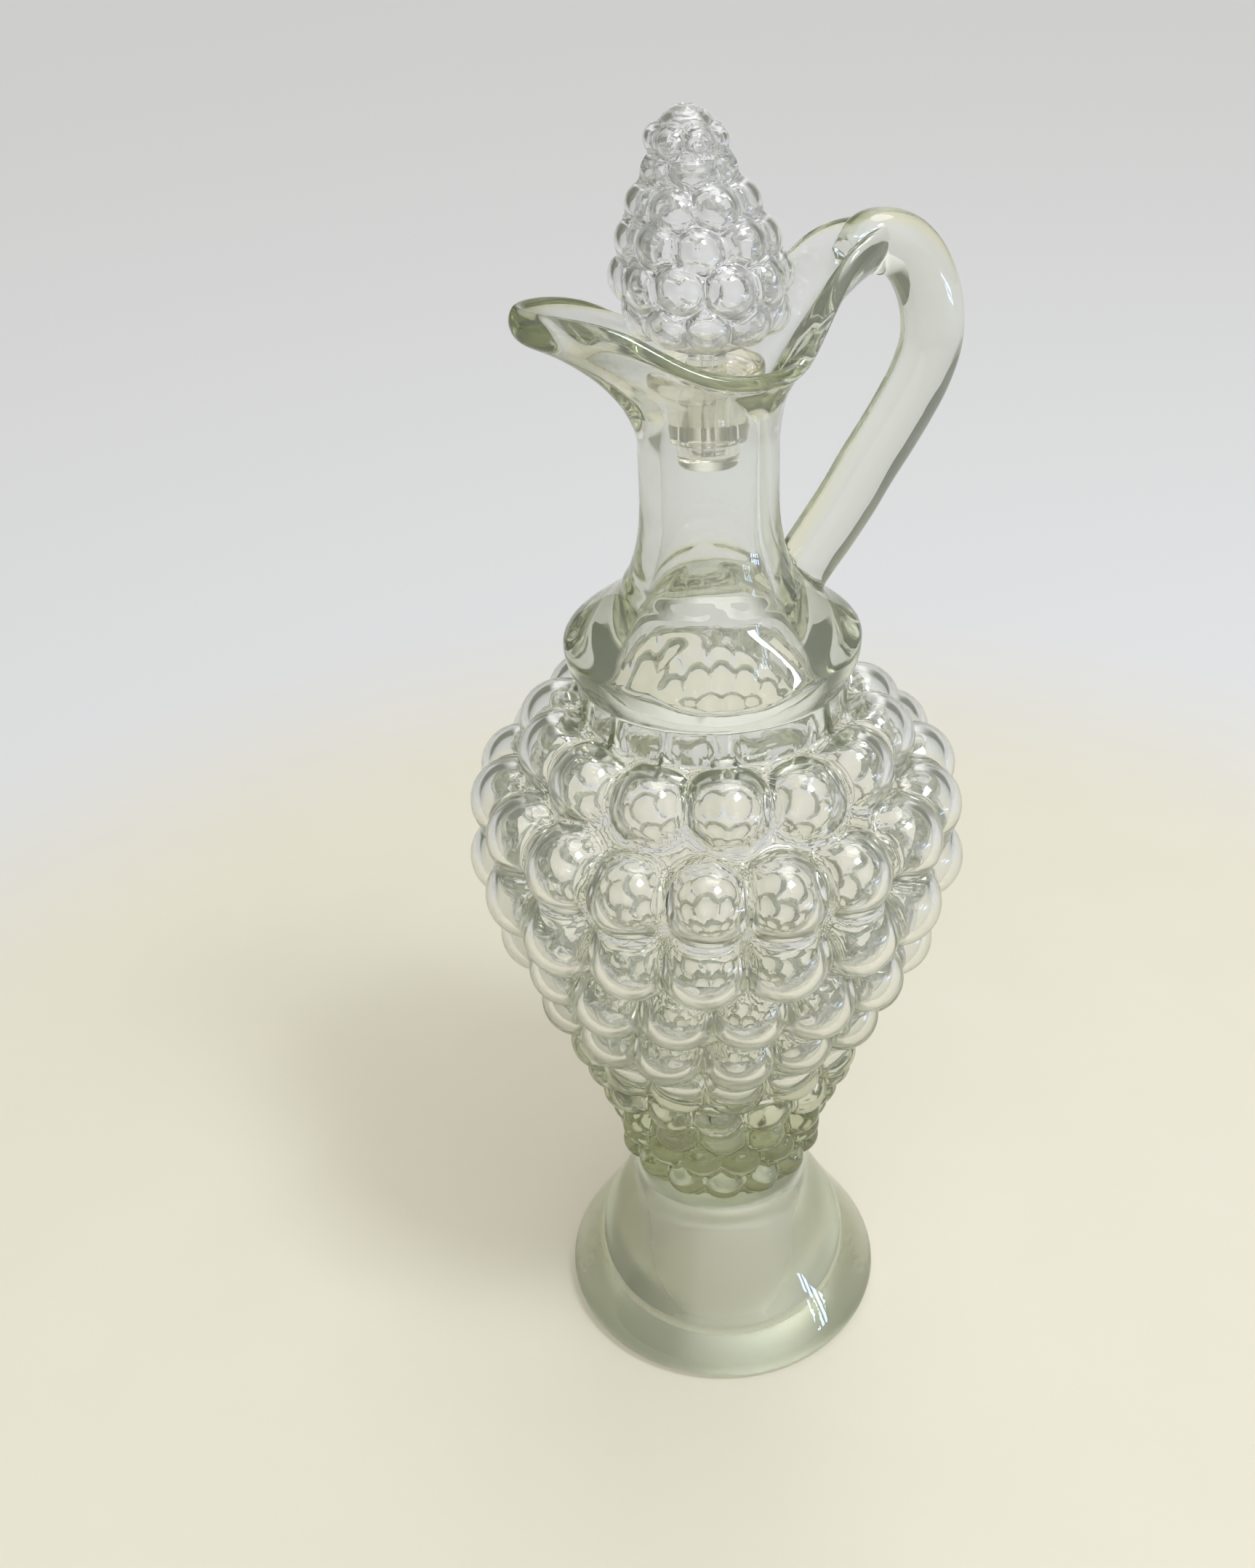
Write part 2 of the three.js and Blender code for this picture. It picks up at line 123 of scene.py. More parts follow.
def through(rows, steps):
    """A smooth row between every two rows given: the Catmull-Rom cubic, where each stretch starts and
    ends along the line that joins its two neighbours. The given rows stay where they are."""
    rows = np.asarray(rows, float)
    before = np.concatenate([rows[:1], rows[:-1]])
    after = np.concatenate([rows[1:], rows[-1:]])
    share = (np.arange(steps) / steps).reshape((-1,) + (1,) * (rows.ndim - 1))
    made = []
    for i in range(len(rows) - 1):
        p0, p1, p2, p3 = before[i], rows[i], rows[i + 1], after[i + 1]
        made.append(0.5 * (2 * p1 + (p2 - p0) * share + (2 * p0 - 5 * p1 + 4 * p2 - p3) * share**2
                           + (3 * p1 - p0 - 3 * p2 + p3) * share**3))
    return np.concatenate(made + [rows[-1:]])


def smooth_step(value, low, high):
    """0 up to low, 1 from high on, and 3s^2 - 2s^3 between."""
    share = np.clip((value - low) / (high - low), 0, 1)
    return share**2 * (3 - 2 * share)


def along(outline, shares):
    """Points at shares of a smooth outline's length, and the unit normals that point off its right
    side: the tangent (r, z) turned to (z, -r)."""
    line = through(outline, 60)
    length = np.concatenate([[0], np.cumsum(np.linalg.norm(np.diff(line, axis=0), axis=1))])
    slope = np.gradient(line, length, axis=0)
    places = np.asarray(shares) * length[-1]
    at, tangent = [np.stack([np.interp(places, length, column) for column in rows.T], axis=1)
                   for rows in (line, slope)]
    tangent /= np.linalg.norm(tangent, axis=1, keepdims=True)
    return at, np.stack([tangent[:, 1], -tangent[:, 0]], axis=1)


def rings(radius, height, angles=even):
    """Rings about the Z axis: x = radius cos(angle), y = radius sin(angle), z = height. A radius or a
    height may be one number a row, or one a row and column."""
    rows = [v if np.ndim(v) == 2 else np.asarray(v, float)[:, None] for v in (radius, height)]
    radius, height, angles = np.broadcast_arrays(*rows, np.atleast_2d(angles))
    return np.stack([radius * np.cos(angles), radius * np.sin(angles), height], axis=2)


def turned(line, angles=even):
    """Rings of an outline of radius and height pairs, turned about the Z axis."""
    return rings(line[:, 0], line[:, 1], angles)


def skin(name, stack):
    """A closed mesh of a stack of rings in millimetres, made in metres: four-sided faces between the
    rings, and a fan from the middle of the first and of the last ring."""
    rows, columns, _ = stack.shape
    middles = stack[[0, -1]].mean(axis=1)
    points = np.concatenate([stack.reshape(-1, 3), middles]) * MM
    low = np.arange(columns)
    high = (low + 1) % columns
    start = (np.arange(rows - 1) * columns)[:, None]
    sides = np.stack([start + low, start + high, start + columns + high, start + columns + low], axis=2)
    first, last = rows * columns, rows * columns + 1
    bottom = np.stack([high, low, np.full(columns, first)], axis=1)
    top = np.stack([low, high, np.full(columns, last)], axis=1) + np.array([1, 1, 0]) * (rows - 1) * columns
    mesh = bpy.data.meshes.new(name)
    mesh.from_pydata(points, [], sides.reshape(-1, 4).tolist() + bottom.tolist() + top.tolist())
    mesh.validate()
    mesh.polygons.foreach_set("use_smooth", np.ones(len(mesh.polygons), bool))
    piece = bpy.data.objects.new(name, mesh)
    bpy.context.collection.objects.link(piece)
    print(name, len(mesh.vertices), "points")
    return piece


# %% [markdown]
# ## Grapes
# The mould was cut with round hollows in tiers. Each grape is a ball whose middle lies a little
# under the smooth body. A point of the body moves out along its normal until it leaves the last ball
# on its way. Where two balls meet, fire-polishing has softened the valley, so the balls are joined
# by a soft maximum instead of a sharp one. No two hollows were cut alike: each grape's place and
# size differ a little.

# %% Helper for grapes
FIRST_GRAPE = math.radians(-107)
GRAPE_SPREAD = 1.2
GRAPE_SINK = 0.2
UNEVENNESS = 0.09
NO_REACH = -50  # mm, for a ball that a normal misses: too little to count in a soft maximum


def plant(outline, tiers, seed):
    """The middle and the radius of every grape. A tier lies at a share of the outline's length, and
    its grapes have the radius that makes them overlap: spread times pi times the body's radius over
    their count. Each is then shifted and made smaller by a seeded random share of that radius."""
    random = np.random.default_rng(seed)
    middles, radii = [], []
    for share, count, shift in tiers:
        angle = FIRST_GRAPE + 2 * np.pi * (np.arange(count) + shift) / count
        seat, normal = along(outline, [share])
        radius = GRAPE_SPREAD * np.pi * seat[0, 0] / count
        jitter = random.uniform(-UNEVENNESS, UNEVENNESS, (3, count)) * radius
        angle = angle + jitter[0] / seat[0, 0]
        out, height = seat[0] - GRAPE_SINK * radius * normal[0]
        middles.append(np.stack([out * np.cos(angle), out * np.sin(angle), height + jitter[1]], axis=1))
        radii.append(radius - 0.5 * np.abs(jitter[2]))
    return np.concatenate(middles), np.concatenate(radii)


def grape_skin(outline, grapes, shares, angles, softness=0.35, wall=0.0, follow=1.0):
    """The body's rings pushed out to the grapes. Along the unit normal n from a point p, a ball of
    middle c and radius R ends at t = (c - p).n + sqrt(R^2 - |c - p|^2 + ((c - p).n)^2). The push is
    the soft maximum of every t and of the wall's depth: softness times the logarithm of the sum of
    exp(t/softness). An inside surface takes the depth of its wall, and may follow its grapes in part:
    share * push - (1 - share) * wall. Wall and share may differ from ring to ring."""
    middles, radii = grapes
    at, normal = along(outline, shares)
    body, out = turned(at, angles), turned(normal, angles)
    wall, follow = np.broadcast_to(wall, len(body)), np.broadcast_to(follow, len(body))
    pushed = np.empty_like(body)
    for row in range(len(body)):
        to = middles[None] - body[row][:, None]
        ahead = (to * out[row][:, None]).sum(axis=2)
        inside = radii**2 - (to**2).sum(axis=2) + ahead**2
        reach = np.where(inside > 0, ahead + np.sqrt(np.maximum(inside, 0)), NO_REACH)
        push = softness * np.log(np.exp(-wall[row] / softness) + np.exp(reach / softness).sum(axis=1))
        pushed[row] = body[row] + out[row] * (follow[row] * push - (1 - follow[row]) * wall[row])[:, None]
    return pushed


# %% [markdown]
# ## The foot
# The foot is a thick bell on a wide flat rest. It is pressed hollow so that the glass cools evenly.
# Seen through the bell the hollow looks half as wide again as it is, because a round glass wall
# works as a lens, and the factor is the index of the glass. The outline runs from the middle of the
# hollow, down its side, across the rest, round the rim and up the outside to the waist.

# %% Rings of the foot
FOOT_RADIUS = 33
WAIST_RADIUS = 17.4
FOOT_HEIGHT = 34


def foot_rings():
    """The turned outline of the bell, carried round the axis."""
    hollow = [(2.5, 27.7), (7.2, 26.9), (12, 23.8), (14.5, 18.3), (16.2, 12.2), (17.4, 6.1), (17.9, 1.2)]
    rest = [(18.2, 0.4), (18.8, 0.06), (20, 0), (24, 0), (28, 0), (31.0, 0), (31.9, 0.25)]
    rim = [(32.6, 1.0), (FOOT_RADIUS, 2.5), (32.65, 4.2), (31.55, 6.2)]
    bell = [(29.4, 9.7), (26.45, 14.6), (23.85, 19.3), (21.6, 23.8), (19.6, 27.8), (18.2, 31.0),
            (WAIST_RADIUS, FOOT_HEIGHT)]
    line = through(hollow + rest + rim + bell, 2)
    line[:, 1] = np.maximum(line[:, 1], 0)
    return turned(line)


foot = foot_rings()
print("foot rim radius:", round(float(foot[..., 0].max()), 1), "mm")

# %% [markdown]
# ## The bowl
# The smooth body under the grapes swells from the waist to the belly and draws in to the collar.
# Its tiers hold fewer grapes near the foot and at the shoulder. Each is given as its share of the
# outline's length, its count, and its turn in grapes.

# %% Rings of the bowl
BOWL_TOP = 143.5
BELLY_RADIUS, BELLY_HEIGHT = 39.4, 84
COLLAR_RADIUS = 23.8
BOWL_ROOM = 0.00002  # metres kept free between the widest grapes and the CAD box
BOWL_TIERS = [(0.072, 15, 0.88), (0.132, 15, 0.38), (0.201, 15, 0.88), (0.276, 16, 0.8), (0.365, 16, 0.13),
              (0.464, 16, 0.09), (0.584, 18, 0.22), (0.703, 18, 0.7), (0.816, 18, 0.7), (0.94, 14, 0.02)]


def bowl_outline():
    """Radius and height pairs of the smooth body, as shares of the swell and of the draw."""
    swell, draw = BELLY_RADIUS - WAIST_RADIUS, BELLY_RADIUS - COLLAR_RADIUS
    belly = FOOT_HEIGHT + BELLY_HEIGHT
    lower = [(0, 0), (0.005, 0.095), (0.05, 0.185), (0.168, 0.304), (0.305, 0.405), (0.459, 0.524),
             (0.627, 0.643), (0.786, 0.75), (0.909, 0.851), (0.973, 0.935), (1, 1)]
    upper = [(0.019, 0.255), (0.205, 0.482), (0.5, 0.69), (0.75, 0.863), (1, 1)]
    return np.array([(WAIST_RADIUS + swell * r, FOOT_HEIGHT + BELLY_HEIGHT * z) for r, z in lower]
                    + [(BELLY_RADIUS - draw * r, belly + (BOWL_TOP - belly) * z) for r, z in upper])


bowl_grapes = plant(bowl_outline(), BOWL_TIERS, seed=4)
bowl = grape_skin(bowl_outline(), bowl_grapes, np.linspace(0, 1, 118)[1:-1], even)
for axis in (0, 1):
    room = (cad_box[1][axis] - BOWL_ROOM) / MM
    bowl[..., axis] *= min(1, room / np.abs(bowl[..., axis]).max())
print("bowl width:", round(float(np.ptp(bowl[..., 0])), 1), "mm")

# %% [markdown]
# Air pressed the soft glass into the mould, so the inside of the bowl follows the grapes as well. Each
# grape is a round bubble with a wall of 1.8 mm, and the far side of the bowl shows in it as a small
# net. Near the foot the glass stayed thick, and its inside is nearly smooth.

# %% Rings of the inside of the bowl
BUBBLE_WALL = 1.8
INSIDE_BOTTOM = 54


def inside_rings():
    """The inside from the throat down. Its balls have the grapes' middles and a radius one bubble wall
    less. Between them the wall is 1.4 mm thick, 3.8 mm near the foot and 3.2 mm at the throat."""
    shares = np.linspace(0.99, 0.2, 114)
    middles, radii = bowl_grapes
    wall = 1.4 + 2.4 * (1 - smooth_step(shares, 0.2, 0.5)) + 1.8 * smooth_step(shares, 0.94, 0.99)
    follow = 0.35 + 0.65 * smooth_step(shares, 0.22, 0.5) * smooth_step(1 - shares, 0, 0.03)
    side = grape_skin(bowl_outline(), (middles, radii - BUBBLE_WALL), shares, even, 0.5, wall, follow)
    side = side[side[..., 2].min(axis=1) > INSIDE_BOTTOM]
    bottom = rings([12.6, 9.2, 5.2, 1], [50, 46.4, 44.6, 44.1])
    throat = rings([20.0], [145.6])
    return np.concatenate([throat, side, bottom])


inside = inside_rings()
print("inside:", len(inside), "rings")

# %% [markdown]
# ## Collar, ring and neck
# Above the bowl comes a plain band, then a bulging ring. The neck rises out of the ring like a
# trumpet. At the front and at the back the ring is pressed flat, down to that trumpet, which leaves
# two lobes at the sides with a curved edge. Everything here is one radius as a function of height
# and angle: the smaller of the ring's and the trumpet's.

# %% Rings of the collar, the ring and the neck
RING_BOTTOM, RING_MIDDLE, RING_RADIUS = 150.5, 156.3, 25.7
RING_TOP_RADIUS, RING_TOP_HEIGHT = 15.2, 10.6
NECK_RADIUS, FLARE_TOP, FLARE_HEIGHT = 11.5, 186, 31
NECK_TOP, BORE_TOP, BORE_RADIUS = 192, 197, 7.9
FACET_TURN = math.radians(-14)
RING_SOFTNESS = 0.3
MOUTH_WARP = 0.28


def away(angle, middle):
    """How many degrees an angle is from another, the short way round."""
    return np.degrees(np.abs((angle - middle + np.pi) % (2 * np.pi) - np.pi))


def peak(angle, middle, spread, flat=2.0):
    """1 at the middle, falling as exp(-(away / spread)^flat)."""
    return np.exp(-((away(angle, middle) / spread) ** flat))


def shoulder(z):
    """The band's and the ring's radius at a height, as if nothing were pressed flat. The band widens
    upward, the ring's underside is a parabola and its top a smooth step down to the crown."""
    band = COLLAR_RADIUS - 0.4 * (RING_BOTTOM - z) / (RING_BOTTOM - BOWL_TOP)
    below = (RING_MIDDLE - z) / (RING_MIDDLE - RING_BOTTOM)
    under = RING_RADIUS - (RING_RADIUS - COLLAR_RADIUS) * below**2
    drop = smooth_step(z, RING_MIDDLE, RING_MIDDLE + RING_TOP_HEIGHT)
    top = RING_RADIUS - (RING_RADIUS - RING_TOP_RADIUS) * drop
    return np.where(z < RING_BOTTOM, band, np.where(z < RING_MIDDLE, under, top))


def neck_radius(z, angle):
    """The smaller of the ring and the trumpet, by a soft minimum. The trumpet's radius grows downward
    by a cube, and toward the front and the back it is a flat face: radius / |cos| of the angle off
    the face. Under the handle the ring reaches 2 mm higher."""
    flare = NECK_RADIUS + (RING_RADIUS - NECK_RADIUS) * np.clip((FLARE_TOP - z) / FLARE_HEIGHT, 0, 1) ** 3
    ease = 0.15 * np.clip((RING_MIDDLE + RING_TOP_HEIGHT + 2 - z) / 10, 0, 1)
    facing = np.maximum(np.abs(np.sin(angle - FACET_TURN)), 0.1)
    trumpet = flare * np.minimum(1 / facing, 1 + ease)
    lift = np.where(z > RING_MIDDLE, 2 * peak(angle, 0, 28), 0)
    ring = shoulder(np.maximum(z - lift, np.minimum(z, RING_MIDDLE)))
    return -RING_SOFTNESS * np.log(np.exp(-trumpet / RING_SOFTNESS) + np.exp(-ring / RING_SOFTNESS))


def warped(share):
    """Angles drawn together at the spout and at the handle: angle - share * warp * sin(2 angle)."""
    return even - np.asarray(share)[:, None] * MOUTH_WARP * np.sin(2 * even)


def neck_rings():
    """Rings at chosen heights, closer together over the ring, where the radius changes fast."""
    z = np.concatenate([[143.7], np.linspace(144.2, 150.1, 8), np.linspace(RING_BOTTOM, 170, 48),
                        np.linspace(171.5, NECK_TOP, 12)])
    angles = warped(smooth_step(z, 146, 190))
    return rings(neck_radius(z[:, None], angles), z, angles)


neck = neck_rings()
print("ring width:", round(float(np.ptp(neck[..., 0])), 1), "mm")

# %% [markdown]
# ## The mouth
# While the glass was soft the maker pulled the round mouth out to a spout on one side, and up and
# out on the other, where the handle starts. So the rim has a reach and a height that both depend on
# the angle. The outside and the funnel inside are curves from the neck and from the bore to that
# rim, and the lip between them is rounded by the flame.

# %% Rings of the mouth
MOUTH_RADIUS, MOUTH_HEIGHT = 12.2, 13.6
SPOUT_REACH, SPOUT_RISE = 29.4, 11
ROOT_REACH, ROOT_RISE, TROUGH_REACH = 29.4, 16.8, 25.2
SPOUT_SPREAD, ROOT_SPREAD = 23, 23.5
LIP = 3.2


def rim_reach(angle):
    """The mouth's radius, plus a lobe 1 / (1 + (away / spread)^2) at the spout and at the handle."""
    spout = 1 / (1 + (away(angle, np.pi) / SPOUT_SPREAD) ** 2)
    root = 1 / (1 + (away(angle, 0) / ROOT_SPREAD) ** 2)
    return MOUTH_RADIUS + (SPOUT_REACH - MOUTH_RADIUS) * spout + (ROOT_REACH - MOUTH_RADIUS) * root


def rim_height(angle):
    """The mouth's height, plus a peak at the spout and a flatter one at the handle."""
    spout, root = peak(angle, np.pi, 51), peak(angle, 0, 36.5, flat=3.2)
    return NECK_TOP + MOUTH_HEIGHT + SPOUT_RISE * spout + ROOT_RISE * root


def rim_depth(angle):
    """How far down the lip reaches outside: deeper at the spout and at the handle."""
    return 3 + 2.4 * peak(angle, np.pi, 40) + 2.8 * peak(angle, 0, 26)


def bent(start, middle, end, share):
    """The quadratic curve (1-s)^2 start + 2s(1-s) middle + s^2 end, for radius and for height."""
    return [(1 - share) ** 2 * a + 2 * share * (1 - share) * b + share**2 * c
            for a, b, c in zip(start, middle, end)]


def mouth_rings():
    """The outside curve, three rings over the lip, and the funnel back down to the bore, joined by a
    smooth line along every column."""
    angles = warped([1])[0]
    reach, height, depth = rim_reach(angles), rim_height(angles), rim_depth(angles)
    edge = (reach + 0.1, height - depth)
    middle = (NECK_RADIUS + 0.12 * (edge[0] - NECK_RADIUS), NECK_TOP + 0.58 * (edge[1] - NECK_TOP))
    rows = [bent((NECK_RADIUS, NECK_TOP), middle, edge, s) for s in (0.12, 0.3, 0.5, 0.68, 0.85, 1)]
    lip = ((0.44, 0.6), (0.42, 0.24), (0.04, 0))
    rows += [(reach + out * LIP, height - down * depth) for out, down in lip]
    inner = (reach - 0.6 * LIP - (ROOT_REACH - 2 - TROUGH_REACH) * peak(angles, 0, 12), height - 1.5)
    middle = (BORE_RADIUS + 0.2 + 0.07 * (inner[0] - BORE_RADIUS),
              BORE_TOP + 2.5 + 0.12 * (inner[1] - BORE_TOP))
    rows += [bent((BORE_RADIUS, BORE_TOP), middle, inner, s) for s in (1, 0.85, 0.7, 0.55, 0.4, 0.22, 0)]
    return through([np.stack([r * np.cos(angles), r * np.sin(angles), z], axis=1) for r, z in rows], 3)


mouth = mouth_rings()
print("mouth from", round(float(mouth[..., 0].min()), 1), "to", round(float(mouth[..., 0].max()), 1), "mm")

# %% [markdown]
# ## The bore
# Under the funnel the bore is a plain round hole. Lower down it widens and opens into the bowl, while
# the ring round it stays thick. It is a turned outline like the foot's.

# %% Rings of the bore


def bore_rings():
    """The turned outline of the bore, with its columns drawn together upward as the mouth's are."""
    line = through([(BORE_RADIUS, 194), (BORE_RADIUS, 186), (7.95, 178), (8.5, 173), (9.9, 167.5),
                    (12.3, 162), (15.3, 157), (18.4, 151.5)], 2)
    return turned(line, warped(smooth_step(line[:, 1], 150, 190)))


bore = bore_rings()
print("bore radius:", round(float(bore[0, :, 0].max()), 1), "mm at the top")

# %% [markdown]
# ## The handle
# The handle is a drawn rod of glass. It leaves the raised back of the mouth, loops over and comes
# down to the top of the ring, where it was pressed on while soft. The rod's section is a rounded,
# slightly flattened circle that is carried along the path.

# %% Rings of the handle
HANDLE_THICK, HANDLE_WIDE, HANDLE_REACH = 10, 9.6, 39.1
HANDLE_JOINT = 26
ROD_COLUMNS, ROD_SQUARENESS = 44, 0.88


def handle_path():
    """The rod's middle in the plane of the handle, as (x, z) pairs: over the top, then down."""
    top, weld = NECK_TOP + MOUTH_HEIGHT + ROOT_RISE - 3.3, RING_MIDDLE + RING_TOP_HEIGHT
    drop, swing = top - weld, HANDLE_REACH - RING_TOP_RADIUS - 2.2
    tail = [(0.09, 2.9), (0.2, 0.5), (0.32, 0)]
    leg = [(0.43, 0.08), (0.52, 0.2), (0.61, 0.34), (0.705, 0.5), (0.82, 0.68), (1, 1)]
    return np.array([(HANDLE_JOINT - 2.6, top - 2.6), (HANDLE_JOINT - 0.6, top - 1.2),
                     (HANDLE_JOINT + 2.4, top), (HANDLE_REACH - 6.4, top - drop * 0.02)]
                    + [(HANDLE_REACH - x, top - drop * z) for z, x in tail]
                    + [(HANDLE_REACH - swing * x, top - drop * z) for z, x in leg]
                    + [(HANDLE_REACH - swing - 4, weld - 5.4)])


def rod_rings():
    """At each point of the path, with unit tangent (tx, tz): side * (0, 1, 0) + out * (-tz, 0, tx),
    where side and out run round a superellipse of the rod's width and thickness: the sign of cosine
    and sine times their size to the power 0.88. The first rings are drawn in, so that the rod grows
    out of the rim."""
    line = through(handle_path(), 9)
    tangent = np.gradient(line, axis=0)
    tangent /= np.linalg.norm(tangent, axis=1, keepdims=True)
    turn = even_angles(ROD_COLUMNS)
    circle = np.stack([np.cos(turn), np.sin(turn)])
    section = np.sign(circle) * np.abs(circle) ** ROD_SQUARENESS
    grow = 0.62 + 0.38 * smooth_step(np.arange(len(line)), 0, 16)
    side = grow[:, None] * (section[0] * HANDLE_WIDE / 2)
    out = grow[:, None] * (section[1] * HANDLE_THICK / 2)
    x = line[:, :1] - tangent[:, 1:] * out
    z = line[:, 1:] + tangent[:, :1] * out
    return np.stack([x, side, z], axis=2)


rod = skin("handle_rod", rod_rings())

# %% [markdown]
# ## One piece of glass
# Light bends where glass meets air. If the foot, the bowl and the handle were separate closed
# pieces, every ray would bend again at faces that the real bottle doesn't have, so the whole bottle
# is one skin: up the outside, over the lip and down the inside. The rod is then joined to it, and
# the seam is relaxed a little, because hot glass leaves no sharp corner.

# %% Join the bottle
ROOT_SEAM, ROOT_AROUND = (HANDLE_JOINT - 0.6, 0, 217), (3.4, 6.5, 7.5)
WELD_SEAM, WELD_AROUND = (18.6, 0, 166.5), (6.5, 6.5, 6.5)
RELAX_ROUNDS, RELAX_SHARE = 14, 0.55

bottle = skin("cruet_bottle", np.concatenate([foot, bowl, neck, mouth, bore, inside]))


def join_and_relax(body, rod):
    """The union of the two skins. Then every point in an ellipsoid round a seam is moved, in several
    rounds, a share of the way to the mean of its neighbours, more so the nearer it is."""
    union = body.modifiers.new("join", "BOOLEAN")
    union.operation, union.object, union.solver = "UNION", rod, "MANIFOLD"
    joined = bpy.data.meshes.new_from_object(body.evaluated_get(bpy.context.evaluated_depsgraph_get()))
    body.modifiers.clear()
    body.data = joined
    bpy.data.objects.remove(rod)
    places = np.empty(3 * len(joined.vertices))
    joined.vertices.foreach_get("co", places)
    places = places.reshape(-1, 3) / MM
    ends = np.empty(2 * len(joined.edges), int)
    joined.edges.foreach_get("vertices", ends)
    a, b = ends.reshape(-1, 2).T
    count = np.bincount(a, minlength=len(places)) + np.bincount(b, minlength=len(places))
    root = np.linalg.norm((places - ROOT_SEAM) / ROOT_AROUND, axis=1)
    weld = np.linalg.norm((places - WELD_SEAM) / WELD_AROUND, axis=1)
    near = np.clip(2.2 - 2.2 * np.minimum(root, weld), 0, 1)
    for _ in range(RELAX_ROUNDS):
        total = np.stack([np.bincount(a, column[b], len(column)) + np.bincount(b, column[a], len(column))
                          for column in places.T], axis=1)
        places += RELAX_SHARE * near[:, None] * (total / count[:, None] - places)
    joined.vertices.foreach_set("co", (places * MM).ravel())
    joined.polygons.foreach_set("use_smooth", np.ones(len(joined.polygons), bool))
    joined.update()
    print("bottle:", len(joined.vertices), "points,", int((near > 0).sum()), "relaxed at the seams")


join_and_relax(bottle, rod)
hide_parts("foot", "grape_bowl", "collar", "neck", "handle")
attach(bottle, "bottle")

# %% [markdown]
# ## The stopper
# The stopper's head is a small bunch of the same grapes, one at the tip, on a thin peg. It looks as
# if it was blown in its mould: the head is hollow, and a fine channel runs down the peg. It is a
# single skin: from the peg's end, up round the head to the tip, and down the inside again. The head
# stands a little askew.

# %% Make the stopper
HEAD_BOTTOM, HEAD_RADIUS, HEAD_HEIGHT = 206.2, 11, 35.88
HEAD_LEAN = (-2.4, 0.7, 0)
HEAD_COLUMNS, HEAD_WALL = 160, 1.0
HEAD_TIERS = [(0.231, 10, 0), (0.366, 10, 0.5), (0.5, 9, 0), (0.625, 7, 0.5), (0.756, 5, 0), (0.85, 7, 0.3)]


def stopper_rings():
    """The peg's turned outline, the head's grape rings, and inside them rings of balls that are one
    wall smaller. Every ring of the head is moved by a share of the lean that grows with its height."""
    rows = [(0.3, 0), (0.66, 0.04), (0.88, 0.12), (0.985, 0.24), (1, 0.35), (0.87, 0.48), (0.68, 0.61),
            (0.5, 0.72), (0.36, 0.785), (0.39, 0.825), (0.415, 0.872), (0.375, 0.925), (0.28, 0.966),
            (0.1, 0.996)]
    outline = np.array(rows) * (HEAD_RADIUS, HEAD_HEIGHT) + (0, HEAD_BOTTOM)
    angles = even_angles(HEAD_COLUMNS)
    middles, radii = plant(outline, HEAD_TIERS, seed=11)
    head = grape_skin(outline, (middles, radii), np.linspace(0, 1, 110), angles, softness=0.6)
    hollow = grape_skin(outline, (middles, radii - HEAD_WALL), np.linspace(0.96, 0.06, 96), angles,
                        softness=1.6, wall=HEAD_WALL)
    for part in (head, hollow):
        part += smooth_step(part[..., 2:], HEAD_BOTTOM, HEAD_BOTTOM + HEAD_HEIGHT) * np.array(HEAD_LEAN)
    peg = through([(1.2, 190.2), (2.2, 190.35), (2.62, 190.9), (2.66, 192.5), (2.72, 197), (2.82, 202),
                   (2.95, 204.9), (3.2, 205.9)], 3)
    channel = through([(2.2, 207.6), (1.0, 206.6), (0.7, 204), (0.7, 196), (0.8, 190.2)], 3)
    return np.concatenate([turned(peg, angles), head, hollow, turned(channel, angles)])


stopper = skin("grape_stopper", stopper_rings())
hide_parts("stopper")
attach(stopper, "stopper")

# %% [markdown]
# ## The sleeve
# The sleeve is a soft moulded plug: a flange that rests in the mouth, a tapered wall with two faint
# sealing beads, and a closed tip. The peg's hole goes down its middle.

# %% Make the sleeve
SLEEVE_COLUMNS = 96


def sleeve_rings():
    """The plug's turned outline, from the middle of its tip round to the bottom of its hole."""
    plug = [(1.5, 188.2), (4.3, 188.2), (4.85, 188.5), (5, 189.2), (5, 192.6), (5.25, 192.9), (6.15, 193.1),
            (6.4, 194.2), (6.75, 195.6), (6.9, 196.6), (6.95, 198.2), (7.2, 199.4), (7.5, 200.5)]
    flange = [(8.5, 201.2), (9.1, 201.7), (9.2, 202.6), (9.15, 203.6), (8.8, 204.15), (8.0, 204.2)]
    hole = [(4.4, 204.2), (3.4, 204.1), (3.15, 203.7), (3.15, 197), (3.15, 190.8), (2.9, 190.0), (1.2, 189.9)]
    return turned(through(plug + flange + hole, 3), even_angles(SLEEVE_COLUMNS))


sleeve = skin("plastic_sleeve", sleeve_rings())
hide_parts("stopper_sleeve")
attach(sleeve, "sleeve")

# %% [markdown]
# ## Materials
# A material is a small network of nodes. One helper adds a node, sets what is a number or a colour
# and links what is another node's output. Colours are written as screens show them and turned to
# the linear values that light is added up in.

# %% Helpers for materials
FIRST, SECOND, MIXED = 6, 7, 2  # a colour Mix node's sockets by number: two inputs and its output


def linear(code):
    """An sRGB hex colour as linear values: c / 12.92 below 0.04045, else ((c + 0.055) / 1.055)^2.4."""
    values = [int(code[i:i + 2], 16) / 255 for i in (1, 3, 5)]
    return tuple(v / 12.92 if v <= 0.04045 else ((v + 0.055) / 1.055) ** 2.4 for v in values) + (1,)


def add(tree, kind, sockets=None, **settings):
    """A node with its settings, and its inputs either set to a value or linked to an output."""
    node = tree.nodes.new(kind)
    for key, value in settings.items():
        setattr(node, key, value)
    for key, value in (sockets or {}).items():
        if isinstance(value, bpy.types.NodeSocket):
            tree.links.new(value, node.inputs[key])
        else:
            node.inputs[key].default_value = value
    return node


